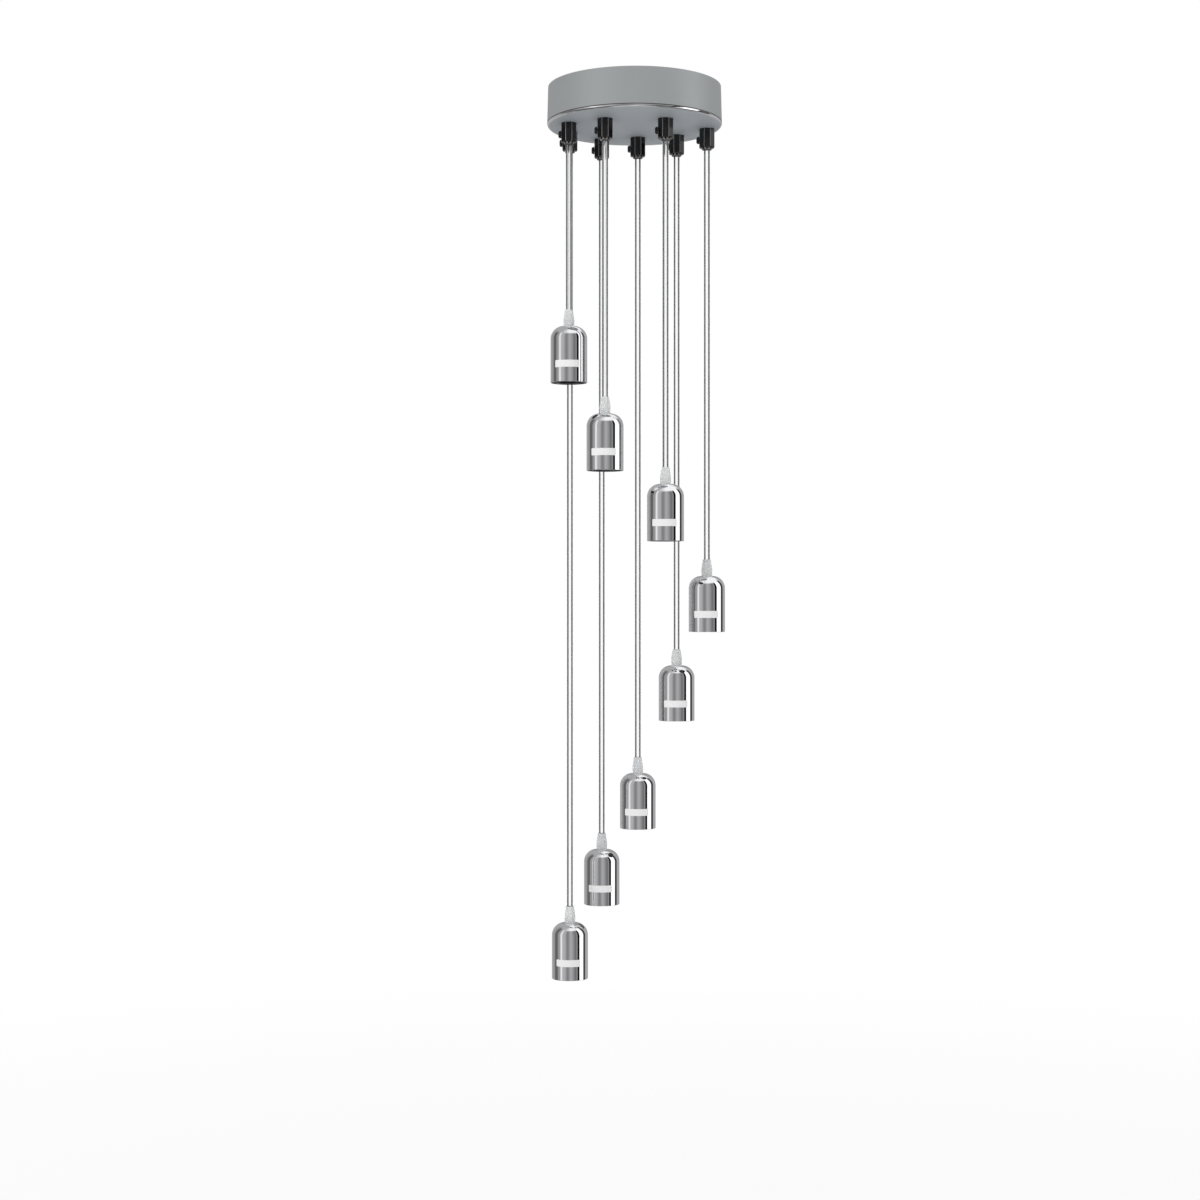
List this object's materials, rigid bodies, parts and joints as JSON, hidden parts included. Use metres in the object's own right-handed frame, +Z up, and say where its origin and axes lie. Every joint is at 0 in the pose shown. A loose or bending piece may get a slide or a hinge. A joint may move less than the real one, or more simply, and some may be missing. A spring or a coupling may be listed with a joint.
{
  "type": "cluster pendant light",
  "caption": "Round chrome ceiling canopy with clear cords at stepped lengths, each holding a domed chrome lampholder from a black grip.",
  "frame": {"origin": "on the ceiling, at the middle of the mounting bracket's top face", "axes": "+Z up into the ceiling, +X to the viewer's right and +Y away from the viewer in the picture"},
  "size_m": [0.2062, 0.2018, 1.034],
  "materials": {
    "canopy_chrome": "soft polished chrome plate",
    "cup_chrome": "mirror polished chrome plate",
    "black_nylon": "glossy black nylon",
    "clear_cord": "clear PVC over two tinned wires",
    "clear_nylon": "clear moulded plastic",
    "brown_insulation": "brown PVC",
    "blue_insulation": "blue PVC",
    "white_moulding": "natural polyethylene",
    "black_moulding": "moulded thermoset",
    "zinc_plated_steel": "bright zinc plate",
    "screw_steel": "dark steel",
    "brass": "plain brass",
    "nickel": "nickel plate"
  },
  "bodies": {
    "bracket": {"mounting_bracket": "zinc_plated_steel", "earth_screw": "brass"},
    "canopy": {"canopy": "canopy_chrome", "cord_grips": "black_nylon", "grip_lock_nuts": "zinc_plated_steel", "cord_tails": "clear_cord", "live_cores": "brown_insulation", "neutral_cores": "blue_insulation", "terminal_strip": "white_moulding", "terminal_clamps": "brass"},
    "canopy_screw_left": {"canopy_screw_left": "screw_steel"},
    "canopy_screw_right": {"canopy_screw_right": "screw_steel"},
    "clamp_screw_1": {"clamp_screw_1": "black_nylon"},
    "clamp_screw_2": {"clamp_screw_2": "black_nylon"},
    "clamp_screw_3": {"clamp_screw_3": "black_nylon"},
    "clamp_screw_4": {"clamp_screw_4": "black_nylon"},
    "clamp_screw_5": {"clamp_screw_5": "black_nylon"},
    "clamp_screw_6": {"clamp_screw_6": "black_nylon"},
    "clamp_screw_7": {"clamp_screw_7": "black_nylon"},
    "clamp_screw_8": {"clamp_screw_8": "black_nylon"},
    "hanging_cord_1": {"cord_1": "clear_cord"},
    "pendant_1": {"strain_relief_1": "clear_nylon", "holder_cup_1": "cup_chrome", "socket_insulator_1": "black_moulding", "socket_metalwork_1": "nickel"},
    "hanging_cord_2": {"cord_2": "clear_cord"},
    "pendant_2": {"strain_relief_2": "clear_nylon", "holder_cup_2": "cup_chrome", "socket_insulator_2": "black_moulding", "socket_metalwork_2": "nickel"},
    "hanging_cord_3": {"cord_3": "clear_cord"},
    "pendant_3": {"strain_relief_3": "clear_nylon", "holder_cup_3": "cup_chrome", "socket_insulator_3": "black_moulding", "socket_metalwork_3": "nickel"},
    "hanging_cord_4": {"cord_4": "clear_cord"},
    "pendant_4": {"strain_relief_4": "clear_nylon", "holder_cup_4": "cup_chrome", "socket_insulator_4": "black_moulding", "socket_metalwork_4": "nickel"},
    "hanging_cord_5": {"cord_5": "clear_cord"},
    "pendant_5": {"strain_relief_5": "clear_nylon", "holder_cup_5": "cup_chrome", "socket_insulator_5": "black_moulding", "socket_metalwork_5": "nickel"},
    "hanging_cord_6": {"cord_6": "clear_cord"},
    "pendant_6": {"strain_relief_6": "clear_nylon", "holder_cup_6": "cup_chrome", "socket_insulator_6": "black_moulding", "socket_metalwork_6": "nickel"},
    "hanging_cord_7": {"cord_7": "clear_cord"},
    "pendant_7": {"strain_relief_7": "clear_nylon", "holder_cup_7": "cup_chrome", "socket_insulator_7": "black_moulding", "socket_metalwork_7": "nickel"},
    "hanging_cord_8": {"cord_8": "clear_cord"},
    "pendant_8": {"strain_relief_8": "clear_nylon", "holder_cup_8": "cup_chrome", "socket_insulator_8": "black_moulding", "socket_metalwork_8": "nickel"}
  },
  "joints": [
    {"name": "canopy_lower", "type": "slide", "parent": "bracket", "child": "canopy", "axis": [0, 0, 1], "range_m": [-0.06, 0]},
    {"name": "canopy_screw_left_turn", "type": "hinge", "parent": "canopy", "child": "canopy_screw_left", "pos_m": [-0.09732, 0, -0.012], "axis": [-1, 0, 0], "range_deg": [0, 810]},
    {"name": "canopy_screw_right_turn", "type": "hinge", "parent": "canopy", "child": "canopy_screw_right", "pos_m": [0.09732, 0, -0.012], "axis": [1, 0, 0], "range_deg": [0, 810]},
    {"name": "clamp_screw_1_turn", "type": "hinge", "parent": "canopy", "child": "clamp_screw_1", "pos_m": [-0.08433, -0.01801, -0.058], "axis": [-1, 0, 0], "range_deg": [0, 450]},
    {"name": "clamp_screw_2_turn", "type": "hinge", "parent": "canopy", "child": "clamp_screw_2", "pos_m": [-0.04294, -0.03905, -0.058], "axis": [-1, 0, 0], "range_deg": [0, 450]},
    {"name": "clamp_screw_3_turn", "type": "hinge", "parent": "canopy", "child": "clamp_screw_3", "pos_m": [0.02584, -0.03896, -0.058], "axis": [-1, 0, 0], "range_deg": [0, 450]},
    {"name": "clamp_screw_4_turn", "type": "hinge", "parent": "canopy", "child": "clamp_screw_4", "pos_m": [0.0755, 0.01199, -0.058], "axis": [-1, 0, 0], "range_deg": [0, 450]},
    {"name": "clamp_screw_5_turn", "type": "hinge", "parent": "canopy", "child": "clamp_screw_5", "pos_m": [0.04161, 0.04599, -0.058], "axis": [-1, 0, 0], "range_deg": [0, 450]},
    {"name": "clamp_screw_6_turn", "type": "hinge", "parent": "canopy", "child": "clamp_screw_6", "pos_m": [-0.00388, 0.058, -0.058], "axis": [-1, 0, 0], "range_deg": [0, 450]},
    {"name": "clamp_screw_7_turn", "type": "hinge", "parent": "canopy", "child": "clamp_screw_7", "pos_m": [-0.04657, 0.06604, -0.058], "axis": [-1, 0, 0], "range_deg": [0, 450]},
    {"name": "clamp_screw_8_turn", "type": "hinge", "parent": "canopy", "child": "clamp_screw_8", "pos_m": [-0.08383, 0.02703, -0.058], "axis": [-1, 0, 0], "range_deg": [0, 450]},
    {"name": "pendant_1_sway", "type": "hinge", "parent": "canopy", "child": "hanging_cord_1", "pos_m": [-0.07558, -0.01801, -0.069], "axis": [-0.2317, 0.9728, 0], "range_deg": [0, 10]},
    {"name": "pendant_1_raise", "type": "slide", "parent": "hanging_cord_1", "child": "pendant_1", "axis": [0, 0, 1], "range_m": [0, 0.13], "deforming": ["cord_1"]},
    {"name": "pendant_2_sway", "type": "hinge", "parent": "canopy", "child": "hanging_cord_2", "pos_m": [-0.03419, -0.03905, -0.069], "axis": [-0.7524, 0.6587, 0], "range_deg": [0, 10]},
    {"name": "pendant_2_raise", "type": "slide", "parent": "hanging_cord_2", "child": "pendant_2", "axis": [0, 0, 1], "range_m": [0, 0.232], "deforming": ["cord_2"]},
    {"name": "pendant_3_sway", "type": "hinge", "parent": "canopy", "child": "hanging_cord_3", "pos_m": [0.03459, -0.03896, -0.069], "axis": [-0.7478, -0.6639, 0], "range_deg": [0, 10]},
    {"name": "pendant_3_raise", "type": "slide", "parent": "hanging_cord_3", "child": "pendant_3", "axis": [0, 0, 1], "range_m": [0, 0.312], "deforming": ["cord_3"]},
    {"name": "pendant_4_sway", "type": "hinge", "parent": "canopy", "child": "hanging_cord_4", "pos_m": [0.08425, 0.01199, -0.069], "axis": [0.1409, -0.99, 0], "range_deg": [0, 10]},
    {"name": "pendant_4_raise", "type": "slide", "parent": "hanging_cord_4", "child": "pendant_4", "axis": [0, 0, 1], "range_m": [0, 0.416], "deforming": ["cord_4"]},
    {"name": "pendant_5_sway", "type": "hinge", "parent": "canopy", "child": "hanging_cord_5", "pos_m": [0.05036, 0.04599, -0.069], "axis": [0.6743, -0.7385, 0], "range_deg": [0, 10]},
    {"name": "pendant_5_raise", "type": "slide", "parent": "hanging_cord_5", "child": "pendant_5", "axis": [0, 0, 1], "range_m": [0, 0.521], "deforming": ["cord_5"]},
    {"name": "pendant_6_sway", "type": "hinge", "parent": "canopy", "child": "hanging_cord_6", "pos_m": [0.00487, 0.058, -0.069], "axis": [0.9965, -0.0837, 0], "range_deg": [0, 10]},
    {"name": "pendant_6_raise", "type": "slide", "parent": "hanging_cord_6", "child": "pendant_6", "axis": [0, 0, 1], "range_m": [0, 0.649], "deforming": ["cord_6"]},
    {"name": "pendant_7_sway", "type": "hinge", "parent": "canopy", "child": "hanging_cord_7", "pos_m": [-0.03782, 0.06604, -0.069], "axis": [0.8678, 0.497, 0], "range_deg": [0, 10]},
    {"name": "pendant_7_raise", "type": "slide", "parent": "hanging_cord_7", "child": "pendant_7", "axis": [0, 0, 1], "range_m": [0, 0.74], "deforming": ["cord_7"]},
    {"name": "pendant_8_sway", "type": "hinge", "parent": "canopy", "child": "hanging_cord_8", "pos_m": [-0.07508, 0.02703, -0.069], "axis": [0.3387, 0.9409, 0], "range_deg": [0, 10]},
    {"name": "pendant_8_raise", "type": "slide", "parent": "hanging_cord_8", "child": "pendant_8", "axis": [0, 0, 1], "range_m": [0, 0.821], "deforming": ["cord_8"]}
  ]
}
